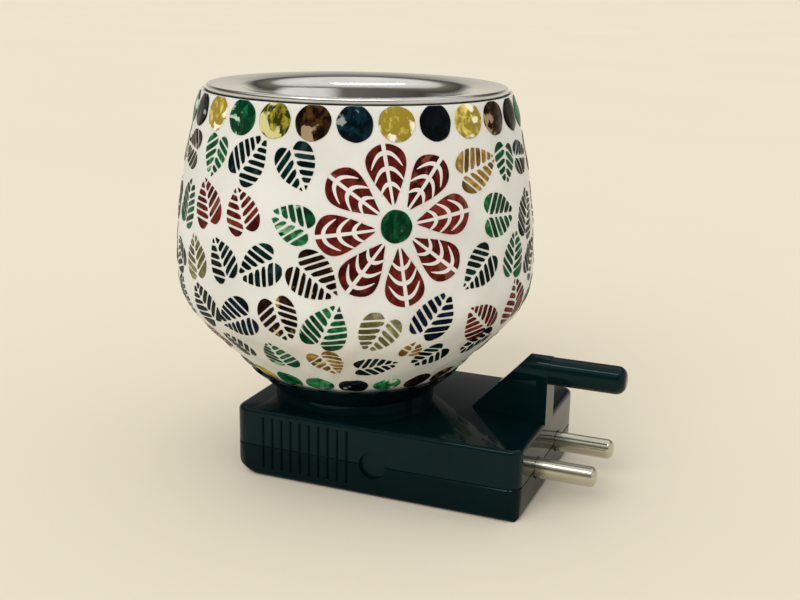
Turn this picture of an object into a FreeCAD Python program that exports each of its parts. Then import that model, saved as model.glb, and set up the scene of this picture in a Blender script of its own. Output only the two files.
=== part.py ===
"""Plug-in wax melt warmer: a mosaic glass globe with a steel dish on a plug box."""
import FreeCAD, Part
import math
import os

os.makedirs("parts", exist_ok=True)
V = FreeCAD.Vector

# The origin lies on the underside, on the globe's axis. +X points to the pins, +Z up. Millimetres.

# Plug box
box_back_margin = 1.5
box_front = 53.5
box_width = 51.5
lower_height = 8.3
upper_height = 9.7
case_wall = 2.2
front_corner = 3.5
back_corner = 4.0
top_edge_round = 1.2
base_edge_round = 1.5
parting_edge = 0.25
tail_round = 7.0
grip_count = 10
grip_pitch = 2.58
grip_first = 8.4
grip_half_width = 0.45
grip_depth = 0.5
grip_top_margin = 1.7
grip_base_margin = 2.6

# Pins
pin_radius = 2.54
pin_length = 14.9
pin_spacing = 19.05
pin_tip_round = 1.6
pin_neck_radius = 2.2
pin_hole_play = 0.3
pin_collar_radius = 3.6
pin_collar_thickness = 2.0
pin_rib_thickness = 2.0
pin_rib_overhang = 5.0
pin_tail_radius = 1.9
pin_tail_length = 5.0
pin_play = 0.03

# Earth pin and the web that carries it
earth_radius = 3.53
earth_length = 18.8
earth_offset = 22.2
earth_tip_round = 2.4
web_reach = 20.5
web_tip_half_width = 0.25
web_peak_reach = 5.5
web_step = 0.2

# Blanked cord exit in the side
cord_hole_x = 16.1
cord_hole_radius = 3.5
blank_recess = 1.1
blank_play = 0.04
blank_flange_radius = 4.8
blank_flange_thickness = 1.0

# Screws
case_screw_radius = 1.3
case_screw_head_radius = 2.5
case_screw_head_height = 1.7
case_screw_recess = 1.2
case_screw_from_side = 5.2
case_screw_from_front = 7.5
case_screw_from_tail = 4.2
case_screw_bite = 5.0
case_screw_play = 0.25
head_play = 0.3
boss_radius = 3.4
socket_screw_radius = 1.1
socket_screw_head_radius = 1.9
socket_screw_head_height = 1.3
socket_screw_bite = 4.0
socket_boss_radius = 2.8
thread_play = 0.02

# Gallery cup
gallery_floor = 1.5
gallery_wall_height = 2.3
gallery_lip_height = 8.3
gallery_gap = 0.3
gallery_wall = 1.1
wire_hole_radius = 6.2

# Globe
foot_gap = 0.3
foot_ledge = 3.6
foot_clearance = 1.9
globe_height = 77.2
belly_radius = 45.8
belly_height_share = 0.43
belly_low_drop = 11.8
rim_radius_share = 0.847
foot_bulge = 0.9
upper_bulge = 1.72
belly_arc_radius = 18.4
grout_thickness = 1.2
glass_thickness = 2.4
bond_height = 2.2

# Mosaic chips
chip_thickness = 0.55
chip_bed = 0.02
top_dot_count = 27
top_dot_share = 0.848
top_dot_drop = 4.05
base_dot_count = 22
base_dot_share = 0.785
base_dot_rise = 3.5
dot_sides = 10
dot_start_deg = -66.9
leaf_band_share = 0.194
leaf_belly_share = 0.262
leaf_width_share = 0.78
petal_count = 8
flower_band_share = 0.289
flower_belly_share = 0.391
flower_place_share = 0.706
petal_start_share = 0.279
petal_width_share = 0.508
flower_centre_share = 0.397
flower_deg = -54.7
flower_turn_deg = 8.0

# Dish
dish_sheet = 0.6
dish_setback = 1.1
dish_lip_height = 1.5
dish_lip_round = 0.7
dish_flange = 10.4
dish_wall_run = 3.3
dish_depth = 11.5
dish_flange_drop = 2.2
dish_seat_gap = 0.1
dish_seat_width = 1.6

# Lamp socket, bulb and leads
socket_radius = 9.0
socket_height = 14.0
socket_flange = 2.4
socket_ear_radius = 2.6
socket_screw_spacing = 22.4
socket_room = 0.6
bulb_pin_spacing = 9.0
bulb_pin_radius = 0.5
bulb_pin_length = 6.0
bulb_pinch_width = 10.4
bulb_pinch_thickness = 3.6
bulb_pinch_height = 13.0
bulb_seat_depth = 5.0
bulb_radius = 6.5
bulb_to_dish = 12.8
bulb_wall = 0.9
bulb_shoulder = 3.0
bulb_play = 0.3
filament_radius = 0.6
filament_length = 4.6
filament_wire_radius = 0.25
filament_height_share = 0.55
contact_width = 2.6
contact_thickness = 1.4
contact_tail = 3.4
contact_tab = 4.0
contact_play = 0.1
lead_radius = 0.9
lead_straight = 11.0
lead_level = 10.0
lead_bend_share = 0.45

overrun = 1.0

# Derived sizes
socket_ear_y = socket_screw_spacing / 2
foot_opening_radius = socket_ear_y + socket_ear_radius + socket_room
foot_radius = foot_opening_radius + foot_ledge
gallery_inner_radius = foot_radius + foot_clearance
gallery_base_radius = gallery_inner_radius + gallery_wall
box_back = gallery_base_radius + box_back_margin
box_top = lower_height + upper_height
half_width = box_width / 2
pin_y = pin_spacing / 2
earth_z = lower_height + earth_offset
web_half_width = earth_radius + web_step
front_inner = box_front - case_wall
rib_front = front_inner - pin_collar_thickness - 2 * pin_play
rib_back = rib_front - pin_rib_thickness
pin_tail_end = rib_back - pin_tail_length
screw_y = half_width - case_screw_from_side
screw_front_x = box_front - case_screw_from_front
screw_back_x = case_screw_from_tail + tail_round - box_back
ceiling = box_top - case_wall
gallery_top = box_top + gallery_floor
gallery_lip = box_top + gallery_lip_height
foot_height = gallery_top + foot_gap
rim_height = foot_height + globe_height
rim_radius = belly_radius * rim_radius_share
belly_height = foot_height + globe_height * belly_height_share
socket_top = gallery_top + socket_height
bulb_seat = socket_top - bulb_seat_depth
bulb_base = bulb_seat + bulb_play
dish_base = rim_height + dish_seat_gap
dish_floor = dish_base - dish_depth
dish_radius = rim_radius - dish_setback
dish_well_radius = dish_radius - dish_flange
dish_floor_radius = dish_well_radius - dish_wall_run
bulb_top = dish_floor - bulb_to_dish


def box(x0, x1, y0, y1, z0, z1):
    """A block between two corners."""
    return Part.makeBox(x1 - x0, y1 - y0, z1 - z0, V(x0, y0, z0))


def rod(x, y, z, radius, length, direction):
    """A cylinder from a point along a direction."""
    return Part.makeCylinder(radius, length, V(x, y, z), direction)


UP = V(0, 0, 1)
FORWARD = V(1, 0, 0)
ACROSS = V(0, 1, 0)


def line(a, b):
    return Part.makeLine(V(*a), V(*b))


def arc(a, middle, b):
    return Part.Arc(V(*a), V(*middle), V(*b)).toShape()


def turned(points):
    """A solid of revolution about Z from a closed outline of (radius, height) points."""
    corners = [V(radius, 0, height) for radius, height in points]
    face = Part.Face(Part.makePolygon(corners + corners[:1]))
    return face.revolve(V(0, 0, 0), UP, 360)


def turned_edges(edges):
    """A solid of revolution about Z from a closed ring of edges in the XZ plane."""
    return Part.Face(Part.Wire(edges)).revolve(V(0, 0, 0), UP, 360)


def save(name, shape):
    """Writes one sub-part, as one solid or a group of separate solids."""
    solids = shape.Solids
    result = solids[0] if len(solids) == 1 else Part.makeCompound(solids)
    result.exportStep("parts/" + name + ".step")


# Case halves

def plan_block(z0, z1):
    """The box's plan outline, with rounded corners, raised between two heights."""
    body = box(-box_back, box_front, -half_width, half_width, z0, z1)
    upright = [e for e in body.Edges if abs(e.tangentAt(e.FirstParameter).z) > 0.9]
    back = [e for e in upright if e.Vertexes[0].X < 0]
    front = [e for e in upright if e.Vertexes[0].X > 0]
    return body.makeFillet(back_corner, back).makeFillet(front_corner, front)


def cavity(z0, z1):
    """The hollow inside the wall."""
    return box(case_wall - box_back, front_inner, case_wall - half_width, half_width - case_wall, z0, z1)


def screw_places():
    return [(x, y) for x in (screw_back_x, screw_front_x) for y in (-screw_y, screw_y)]


def grips(z0, z1):
    """Vertical V grooves for the fingers in both long sides."""
    groups = []
    for side in (-1, 1):
        face_y = side * half_width
        for i in range(grip_count):
            x = grip_first - box_back + i * grip_pitch
            corners = [
                V(x - grip_half_width, face_y, z0),
                V(x + grip_half_width, face_y, z0),
                V(x, face_y - side * grip_depth, z0),
            ]
            outer = [c + V(0, side * overrun, 0) for c in corners[:2]]
            ring = [corners[0], outer[0], outer[1], corners[1], corners[2], corners[0]]
            groups.append(Part.Face(Part.makePolygon(ring)).extrude(V(0, 0, z1 - z0)))
    return groups


def pin_seats():
    """Close seats for the pins' necks in the rib, and wider holes in the front wall."""
    seats = []
    for side in (-1, 1):
        seats.append(rod(rib_back - overrun, side * pin_y, lower_height, pin_neck_radius + pin_play,
                         pin_rib_thickness + 2 * overrun, FORWARD))
        seats.append(rod(front_inner - overrun, side * pin_y, lower_height, pin_radius + pin_hole_play,
                         case_wall + 2 * overrun, FORWARD))
    return seats


def earth_web():
    """The wedge-shaped web with the dummy earth pin, cut off by one sloping back."""
    tip_x = box_front - web_reach
    peak_x = box_front - web_peak_reach
    sink = case_wall / 2
    plan = Part.Face(Part.makePolygon([
        V(tip_x, -web_tip_half_width, ceiling),
        V(box_front, -web_half_width, ceiling),
        V(box_front, web_half_width, ceiling),
        V(tip_x, web_tip_half_width, ceiling),
        V(tip_x, -web_tip_half_width, ceiling),
    ]))
    wedge = plan.extrude(V(0, 0, earth_z - ceiling))
    wedge = wedge.cut(box(tip_x - overrun, box_front + overrun, -web_half_width, web_half_width,
                          ceiling, box_top - sink))
    pin_back = tip_x + (peak_x - tip_x) / 2
    tip = box_front + earth_length
    root = rod(pin_back, 0, earth_z, web_half_width, box_front - pin_back, FORWARD)
    pin = rod(box_front, 0, earth_z, earth_radius, earth_length, FORWARD)
    tip_edge = [e for e in pin.Edges if e.CenterOfMass.x > tip - earth_tip_round and e.Closed]
    pin = pin.makeFillet(earth_tip_round, tip_edge)
    web_top = earth_z + web_half_width
    slope = (web_top - box_top) / (peak_x - tip_x)
    above = Part.Face(Part.makePolygon([
        V(tip_x - box_back, -box_width, box_top - box_back * slope),
        V(peak_x, -box_width, web_top),
        V(peak_x, -box_width, web_top + box_back),
        V(tip_x - box_back, -box_width, web_top + box_back),
        V(tip_x - box_back, -box_width, box_top - box_back * slope),
    ])).extrude(V(0, 2 * box_width, 0))
    return wedge.fuse([root, pin]).cut(above)


def upper_case():
    shell = plan_block(lower_height, box_top)
    top_edges = [e for e in shell.Edges if e.BoundBox.ZMin > box_top - top_edge_round / 2]
    shell = shell.makeFillet(top_edge_round, top_edges)
    parting_edges = [e for e in shell.Edges if e.BoundBox.ZMax < lower_height + parting_edge]
    shell = shell.makeChamfer(parting_edge, parting_edges)
    shell = shell.cut(cavity(lower_height, ceiling))
    shell = shell.fuse(earth_web())
    shell = shell.fuse([
        rod(x, y, lower_height, boss_radius, ceiling - lower_height + case_wall / 2, UP)
        for x, y in screw_places()
    ])
    boss_base = ceiling - socket_screw_bite - overrun
    shell = shell.fuse([
        rod(0, side * socket_ear_y, boss_base, socket_boss_radius, box_top - boss_base - case_wall / 2, UP)
        for side in (-1, 1)
    ])
    rib = box(rib_back, rib_front, -pin_y - pin_rib_overhang, pin_y + pin_rib_overhang,
              lower_height, ceiling + case_wall / 2)
    shell = shell.fuse(rib)
    pilot = case_screw_radius + thread_play
    holes = [rod(x, y, lower_height - overrun, pilot, case_screw_bite + 2 * overrun, UP)
             for x, y in screw_places()]
    holes += [rod(0, side * socket_ear_y, ceiling - socket_screw_bite, socket_screw_radius + thread_play,
                  case_wall + socket_screw_bite + overrun, UP) for side in (-1, 1)]
    holes.append(rod(0, 0, ceiling - overrun, wire_hole_radius, case_wall + 2 * overrun, UP))
    holes.append(rod(cord_hole_x, -half_width - overrun, lower_height, cord_hole_radius,
                     case_wall + 2 * overrun, ACROSS))
    holes += pin_seats()
    holes += grips(lower_height - overrun, box_top - grip_top_margin)
    return shell.cut(holes)


def lower_case():
    tail_x = tail_round - box_back
    lean = tail_round * math.sqrt(0.5)
    side = Part.Face(Part.Wire([
        line((-box_back, -half_width, lower_height), (-box_back, -half_width, tail_round)),
        arc((-box_back, -half_width, tail_round),
            (tail_x - lean, -half_width, tail_round - lean), (tail_x, -half_width, 0)),
        line((tail_x, -half_width, 0), (box_front, -half_width, 0)),
        line((box_front, -half_width, 0), (box_front, -half_width, lower_height)),
        line((box_front, -half_width, lower_height), (-box_back, -half_width, lower_height)),
    ]))
    outer = side.extrude(V(0, box_width, 0))
    base_edges = [e for e in outer.Edges
                  if e.BoundBox.ZMax < base_edge_round / 2 and e.BoundBox.XMax > tail_x + overrun]
    outer = outer.makeFillet(base_edge_round, base_edges)
    outer = outer.common(plan_block(-overrun, lower_height))
    parting_edges = [e for e in outer.Edges if e.BoundBox.ZMin > lower_height - parting_edge]
    outer = outer.makeChamfer(parting_edge, parting_edges)
    shell = outer.cut(cavity(case_wall, lower_height + overrun).cut(
        box(-box_back, tail_x, -half_width, half_width, -overrun, tail_round)))
    bosses = [rod(x, y, case_wall / 2, boss_radius, lower_height - case_wall / 2, UP)
              for x, y in screw_places()]
    rib = box(rib_back, rib_front, -pin_y - pin_rib_overhang, pin_y + pin_rib_overhang,
              case_wall / 2, lower_height)
    shell = shell.fuse(bosses + [rib])
    head_depth = case_screw_recess + case_screw_head_height
    holes = [rod(x, y, -overrun, case_screw_head_radius + head_play, head_depth + overrun, UP)
             for x, y in screw_places()]
    holes += [rod(x, y, 0, case_screw_radius + case_screw_play, lower_height + overrun, UP)
              for x, y in screw_places()]
    holes.append(rod(cord_hole_x, -half_width - overrun, lower_height, cord_hole_radius,
                     case_wall + 2 * overrun, ACROSS))
    holes += pin_seats()
    holes += grips(grip_base_margin, lower_height + overrun)
    return shell.cut(holes)


def cord_hole_blank():
    """A disc with a flange inside the wall, let in from the wall's outer face."""
    inner_y = case_wall - half_width
    disc = rod(cord_hole_x, blank_recess - half_width, lower_height, cord_hole_radius - blank_play,
               case_wall - blank_recess + blank_flange_thickness, ACROSS)
    flange = rod(cord_hole_x, inner_y, lower_height, blank_flange_radius, blank_flange_thickness, ACROSS)
    return disc.fuse(flange).removeSplitter()


def current_pin(side):
    """A round pin with a domed tip, a neck in the wall, a collar behind it and a soldering tail."""
    tip = box_front + pin_length
    shank = rod(box_front, side * pin_y, lower_height, pin_radius, pin_length, FORWARD)
    tip_edge = [e for e in shank.Edges if e.Closed and e.CenterOfMass.x > tip - pin_tip_round]
    shank = shank.makeFillet(pin_tip_round, tip_edge)
    collar = rod(rib_front + pin_play, side * pin_y, lower_height, pin_collar_radius,
                 pin_collar_thickness, FORWARD)
    neck = rod(rib_back, side * pin_y, lower_height, pin_neck_radius, box_front - rib_back, FORWARD)
    tail = rod(pin_tail_end, side * pin_y, lower_height, pin_tail_radius, pin_tail_length, FORWARD)
    return shank.fuse([neck, collar, tail]).removeSplitter()


def case_screws():
    head_top = case_screw_recess + case_screw_head_height
    tip = lower_height + case_screw_bite
    screws = []
    for x, y in screw_places():
        head = rod(x, y, case_screw_recess, case_screw_head_radius, case_screw_head_height, UP)
        shank = rod(x, y, head_top, case_screw_radius, tip - head_top, UP)
        screws.append(head.fuse(shank))
    return Part.makeCompound(screws)


# Globe surface

def bow(a, b, bulge):
    """An arc from a to b, in (radius, height), that stands outward by bulge at its middle.

    It is given by its centre, its radius and the angles of its ends."""
    run = b[0] - a[0]
    rise = b[1] - a[1]
    chord = math.hypot(run, rise)
    radius = (chord * chord / 4 + bulge * bulge) / (2 * bulge)
    back = radius - bulge
    centre = ((a[0] + b[0]) / 2 - back * rise / chord, (a[1] + b[1]) / 2 + back * run / chord)
    start = math.atan2(a[1] - centre[1], a[0] - centre[0])
    end = math.atan2(b[1] - centre[1], b[0] - centre[0])
    return centre, radius, start, end


belly_turn = math.asin(belly_low_drop / belly_arc_radius)
belly_centre = (belly_radius - belly_arc_radius, belly_height)
belly_join = (belly_centre[0] + belly_arc_radius * math.cos(belly_turn), belly_height - belly_low_drop)
globe_arcs = [
    bow((foot_radius, foot_height), belly_join, foot_bulge),
    (belly_centre, belly_arc_radius, -belly_turn, 0),
    bow((belly_radius, belly_height), (rim_radius, rim_height), upper_bulge),
]


def on_arc(globe_arc, angle):
    """A point of one of the globe's arcs, as (radius, height)."""
    centre, radius = globe_arc[:2]
    return centre[0] + radius * math.cos(angle), centre[1] + radius * math.sin(angle)


def surface_distance(height):
    """How far along its outline, from the foot, the globe's surface reaches a height."""
    walked = 0
    for globe_arc in globe_arcs:
        centre, radius, start, end = globe_arc
        if height <= on_arc(globe_arc, end)[1]:
            break
        walked += radius * (end - start)
    return walked + radius * (math.asin((height - centre[1]) / radius) - start)


def surface_at(distance):
    """The radius, height and outward lean of the globe's surface at a distance from the foot."""
    for globe_arc in globe_arcs:
        centre, radius, start, end = globe_arc
        length = radius * (end - start)
        if distance <= length:
            break
        distance -= length
    angle = start + distance / radius
    return on_arc(globe_arc, angle) + (angle,)


def globe_outline():
    """The grout's outer line from the foot to the rim, as three arcs."""
    edges = []
    for globe_arc in globe_arcs:
        centre, radius, start, end = globe_arc
        ends = [on_arc(globe_arc, angle) for angle in (start, (start + end) / 2, end)]
        edges.append(arc(*[(point[0], 0, point[1]) for point in ends]))
    return edges


# Gallery cup and globe

def gallery():
    """A cup with a short upright wall that flares along the underside of the globe."""
    slope_base = box_top + gallery_wall_height
    inner_lip = surface_at(surface_distance(gallery_lip))[0] + gallery_gap
    cup = turned([
        (wire_hole_radius, box_top),
        (gallery_base_radius, box_top),
        (gallery_base_radius, slope_base),
        (inner_lip + gallery_wall, gallery_lip),
        (inner_lip, gallery_lip),
        (gallery_inner_radius, slope_base),
        (gallery_inner_radius, gallery_top),
        (wire_hole_radius, gallery_top),
    ])
    return cup.cut([rod(0, side * socket_ear_y, box_top - overrun, socket_screw_radius + case_screw_play,
                        gallery_floor + 2 * overrun, UP) for side in (-1, 1)])


def inner_outline(inset):
    """Foot-to-rim points of a surface inside the outer line by about inset."""
    shoulder = ((belly_radius + rim_radius) / 2 + upper_bulge, (belly_height + rim_height) / 2)
    lean = math.sqrt(0.5) * inset
    return [
        (foot_radius - lean, foot_height),
        (belly_join[0] - lean, belly_join[1] + lean),
        (belly_radius - inset, belly_height),
        (shoulder[0] - inset, shoulder[1]),
        (rim_radius - inset, rim_height),
    ]


def globe_grout():
    inner = inner_outline(grout_thickness)
    edges = globe_outline()
    edges.append(line((rim_radius, 0, rim_height), (inner[-1][0], 0, rim_height)))
    for a, b in zip(reversed(inner[1:]), reversed(inner[:-1])):
        edges.append(line((a[0], 0, a[1]), (b[0], 0, b[1])))
    edges.append(line((inner[0][0], 0, foot_height), (foot_radius, 0, foot_height)))
    return turned_edges(edges)


def globe_glass():
    """The blown glass, open at the rim and round the socket at the foot."""
    outer = inner_outline(grout_thickness)
    inner = inner_outline(grout_thickness + glass_thickness)
    foot_top = (foot_opening_radius, foot_height + glass_thickness)
    return turned([(foot_opening_radius, foot_height)] + outer + list(reversed(inner[1:])) + [foot_top])


def globe_bond():
    """The adhesive bead between the foot's end and the cup's wall."""
    wedge = turned([
        (foot_opening_radius, gallery_top),
        (gallery_inner_radius, gallery_top),
        (gallery_inner_radius, gallery_top + bond_height),
        (foot_opening_radius, gallery_top + bond_height),
    ])
    return wedge.cut([globe_grout(), globe_glass()]).Solids[0]


# Chips

def laid(flat, degrees, distance):
    """Sets a flat chip, drawn in XY with +Y up the globe, on the surface at a place."""
    radius, height, lean = surface_at(distance)
    normal = V(math.cos(lean), 0, math.sin(lean))
    upward = V(-normal.z, 0, normal.x)
    start = V(radius, 0, height) + normal * chip_bed
    matrix = FreeCAD.Matrix(
        0, upward.x, normal.x, start.x,
        1, upward.y, normal.y, start.y,
        0, upward.z, normal.z, start.z,
        0, 0, 0, 1)
    chip = flat.transformGeometry(matrix)
    chip.rotate(V(0, 0, 0), UP, degrees)
    return chip


def chip(points):
    """A flat plate from outline points."""
    corners = [V(x, y, 0) for x, y in points]
    return Part.Face(Part.makePolygon(corners + corners[:1])).extrude(V(0, 0, chip_thickness))


def swung(points, degrees, around, up):
    """Points turned in the pattern's own square units, then stretched to sizes around and up the globe."""
    cos_turn = math.cos(math.radians(degrees))
    sin_turn = math.sin(math.radians(degrees))
    return [(around * (x * cos_turn - y * sin_turn), up * (x * sin_turn + y * cos_turn)) for x, y in points]


def dot(diameter):
    ring = []
    for i in range(dot_sides):
        angle = 2 * math.pi * i / dot_sides
        ring.append((diameter / 2 * math.cos(angle), diameter / 2 * math.sin(angle)))
    return chip(ring)


# The leaves and flowers fill the band between the two rows of dots, measured along the outline.
top_dot_place = surface_distance(rim_height - top_dot_drop)
base_dot_place = surface_distance(gallery_lip + base_dot_rise)
top_dot_diameter = 2 * math.pi * surface_at(top_dot_place)[0] / top_dot_count * top_dot_share
base_dot_diameter = 2 * math.pi * surface_at(base_dot_place)[0] / base_dot_count * base_dot_share
band_start = base_dot_place + base_dot_diameter / 2
band = top_dot_place - top_dot_diameter / 2 - band_start

# A leaf points along +X, with its tip at the far end: shares of its length and half its width.
leaf_shares = [(0.5, 0.0), (0.3, 0.62), (-0.08, 1.0), (-0.42, 0.8), (-0.5, 0.36),
               (-0.5, -0.36), (-0.42, -0.8), (-0.08, -1.0), (0.3, -0.62)]
# A petal: shares of its length from its inner end, and of half its width.
petal_shares = [(0.0, 0.16), (0.34, 0.66), (0.62, 1.0), (0.86, 0.8), (1.0, 0.3),
                (1.0, -0.3), (0.86, -0.8), (0.62, -1.0), (0.34, -0.66), (0.0, -0.16)]


def leaf(length_share, tilt):
    around = belly_radius * leaf_belly_share * length_share
    up = band * leaf_band_share * length_share
    return chip(swung([(x, y * leaf_width_share / 2) for x, y in leaf_shares], tilt, around, up))


# Leaves of one half: degrees round the globe, share of the band, share of the length, tilt, colour.
leaf_places_share = [
    (-135.5, 0.900, 0.88, 174, "brown"), (-118.0, 0.913, 0.76, -92, "green"),
    (-100.3, 0.905, 0.96, 58, "black"), (-85.0, 0.895, 0.86, -69, "black"),
    (-24.4, 0.887, 0.88, 11, "gold"), (-10.8, 0.887, 0.87, -98, "green"),
    (4.0, 0.900, 0.83, -6, "black"), (18.5, 0.900, 0.83, 75, "brown"),
    (31.5, 0.910, 0.83, -70, "olive"),
    (-131.0, 0.697, 0.96, 77, "green"), (-117.0, 0.723, 0.95, 122, "red"),
    (-104.4, 0.723, 0.79, 119, "red"), (-86.8, 0.697, 0.80, 163, "green"),
    (-15.8, 0.710, 0.91, -4, "green"), (2.5, 0.685, 1.02, 70, "black"),
    (17.5, 0.697, 0.88, 110, "gold"), (33.0, 0.685, 0.88, -100, "black"),
    (-137.0, 0.497, 0.75, 133, "brown"), (-123.6, 0.510, 0.83, 110, "olive"),
    (-111.2, 0.535, 0.83, 119, "black"), (-96.6, 0.522, 0.88, -150, "black"),
    (-77.3, 0.497, 1.00, -35, "brown"), (-27.0, 0.510, 0.88, -145, "black"),
    (-9.1, 0.535, 0.88, 74, "green"), (4.9, 0.497, 0.88, 53, "black"),
    (19.5, 0.510, 0.83, 120, "red"), (31.5, 0.497, 0.83, -60, "black"),
    (-119.0, 0.321, 0.88, 126, "black"), (-105.2, 0.295, 0.92, -155, "navy"),
    (-88.8, 0.334, 0.98, -77, "brown"), (-75.2, 0.334, 1.00, 70, "green"),
    (-59.7, 0.295, 0.90, -112, "olive"), (-42.0, 0.360, 0.98, 61, "navy"),
    (-25.5, 0.295, 0.98, 135, "red"), (-6.3, 0.347, 0.98, 103, "red"),
    (10.0, 0.321, 0.88, 60, "green"), (26.0, 0.321, 0.88, -120, "black"),
    (43.5, 0.334, 0.88, 75, "navy"),
    (-112.4, 0.141, 0.75, 111, "black"), (-95.5, 0.107, 0.80, 80, "green"),
    (-76.9, 0.107, 0.79, -72, "gold"), (-58.4, 0.089, 0.80, 16, "black"),
    (-47.8, 0.208, 0.48, 79, "gold"), (-40.0, 0.124, 0.78, -130, "black"),
    (-18.5, 0.141, 0.84, -146, "black"), (1.0, 0.107, 0.78, 70, "brown"),
    (19.0, 0.107, 0.78, -80, "green"), (36.0, 0.107, 0.78, 20, "black"),
    (52.0, 0.141, 0.75, 120, "red"),
]
leaf_colours = ["black", "green", "red", "gold", "brown", "navy", "olive"]
top_dot_colours = ["navy", "yellow", "navy", "yellow", "brown", "brown", "green", "navy", "gold",
                   "yellow", "brown", "green", "navy", "yellow", "brown", "gold", "navy", "yellow",
                   "green", "brown", "gold", "green", "navy", "yellow", "green", "gold", "brown"]
base_dot_colours = ["navy", "green", "brown", "brown", "green", "gold", "green", "navy", "gold",
                    "green", "green"]
dot_colours = ["yellow", "green", "gold", "brown", "navy"]


def leaves(colour):
    plates = []
    for degrees, place_share, length_share, tilt, name in leaf_places_share:
        if name == colour:
            for turn in (0, 180):
                plates.append(laid(leaf(length_share, tilt), degrees + turn, band_start + band * place_share))
    return Part.makeCompound(plates)


def dots(colour):
    plates = []
    for count, diameter, place, names in (
            (top_dot_count, top_dot_diameter, top_dot_place, top_dot_colours),
            (base_dot_count, base_dot_diameter, base_dot_place, base_dot_colours)):
        for i in range(count):
            if names[i % len(names)] == colour:
                plates.append(laid(dot(diameter), dot_start_deg + 360 * i / count, place))
    return Part.makeCompound(plates)


def petals():
    """Petals lie each on its own tangent plane, so that they follow the globe."""
    around = belly_radius * flower_belly_share
    up = band * flower_band_share
    middle = (petal_start_share + 1) / 2
    plates = []
    for turn in (0, 180):
        for i in range(petal_count):
            spoke = flower_turn_deg + 360 * i / petal_count
            points = [(petal_start_share + x * (1 - petal_start_share) - middle, y * petal_width_share / 2)
                      for x, y in petal_shares]
            reach = swung([(middle, 0)], spoke, around, up)[0]
            place = band_start + band * flower_place_share + reach[1]
            degrees = flower_deg + turn + math.degrees(reach[0] / surface_at(place)[0])
            plates.append(laid(chip(swung(points, spoke, around, up)), degrees, place))
    return Part.makeCompound(plates)


def flower_centres():
    diameter = belly_radius * flower_belly_share * flower_centre_share
    place = band_start + band * flower_place_share
    return Part.makeCompound([laid(dot(diameter), flower_deg + turn, place) for turn in (0, 180)])


# Dish

def wax_dish():
    """A pressed steel dish: flat floor, steep wall, wide flange, flat seat and upright lip."""
    lip_top = dish_base + dish_lip_height
    seat_inner = rim_radius - grout_thickness - glass_thickness
    seat_outer = seat_inner + dish_seat_width
    well_edge = dish_base - dish_flange_drop
    return turned([
        (0, dish_floor),
        (dish_floor_radius, dish_floor),
        (dish_well_radius, well_edge),
        (seat_inner, dish_base),
        (dish_radius - dish_lip_round, dish_base),
        (dish_radius, dish_base + dish_lip_round),
        (dish_radius, lip_top),
        (dish_radius - dish_sheet, lip_top),
        (dish_radius - dish_sheet, dish_base + dish_sheet),
        (seat_outer, dish_base + dish_sheet),
        (dish_well_radius - dish_sheet, well_edge + dish_sheet),
        (dish_floor_radius - dish_sheet, dish_floor + dish_sheet),
        (0, dish_floor + dish_sheet),
    ])


# Socket and bulb

def lamp_socket():
    body = rod(0, 0, gallery_top, socket_radius, socket_height, UP)
    ears = box(-socket_ear_radius, socket_ear_radius, -socket_ear_y, socket_ear_y,
               gallery_top, gallery_top + socket_flange)
    rounds = [rod(0, side * socket_ear_y, gallery_top, socket_ear_radius, socket_flange, UP)
              for side in (-1, 1)]
    body = body.fuse([ears] + rounds)
    holes = [rod(0, side * socket_ear_y, gallery_top - overrun, socket_screw_radius + case_screw_play,
                 socket_flange + 2 * overrun, UP) for side in (-1, 1)]
    half_pinch_x = bulb_pinch_thickness / 2 + bulb_play
    half_pinch_y = bulb_pinch_width / 2 + bulb_play
    holes.append(box(-half_pinch_x, half_pinch_x, -half_pinch_y, half_pinch_y,
                     bulb_seat, socket_top + overrun))
    half_contact_x = contact_width / 2 + contact_play
    half_contact_y = contact_thickness / 2 + contact_play
    for side in (-1, 1):
        y = side * bulb_pin_spacing / 2
        holes.append(box(-half_contact_x, half_contact_x, y - half_contact_y, y + half_contact_y,
                         gallery_top - overrun, bulb_seat))
    return body.cut(holes)


def socket_screws():
    head_base = gallery_top + socket_flange
    tip = ceiling - socket_screw_bite
    screws = []
    for side in (-1, 1):
        head = rod(0, side * socket_ear_y, head_base, socket_screw_head_radius,
                   socket_screw_head_height, UP)
        shank = rod(0, side * socket_ear_y, tip, socket_screw_radius, head_base - tip, UP)
        screws.append(head.fuse(shank))
    return Part.makeCompound(screws)


def socket_contacts():
    """Two strips: each takes a bulb pin in its top and ends inside the case in a level tab."""
    tail = ceiling - contact_tail
    strips = []
    for side in (-1, 1):
        y = side * bulb_pin_spacing / 2
        strip = box(-contact_width / 2, contact_width / 2, y - contact_thickness / 2,
                    y + contact_thickness / 2, tail, bulb_seat - contact_play)
        hole = rod(0, y, bulb_seat - bulb_pin_length - overrun, bulb_pin_radius + contact_play / 2,
                   bulb_pin_length + 2 * overrun, UP)
        tab = box(contact_width / 2, contact_width / 2 + contact_tab, y - contact_thickness / 2,
                  y + contact_thickness / 2, tail, tail + contact_thickness)
        strips.append(strip.cut(hole).fuse(tab).removeSplitter())
    return Part.makeCompound(strips)


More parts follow.
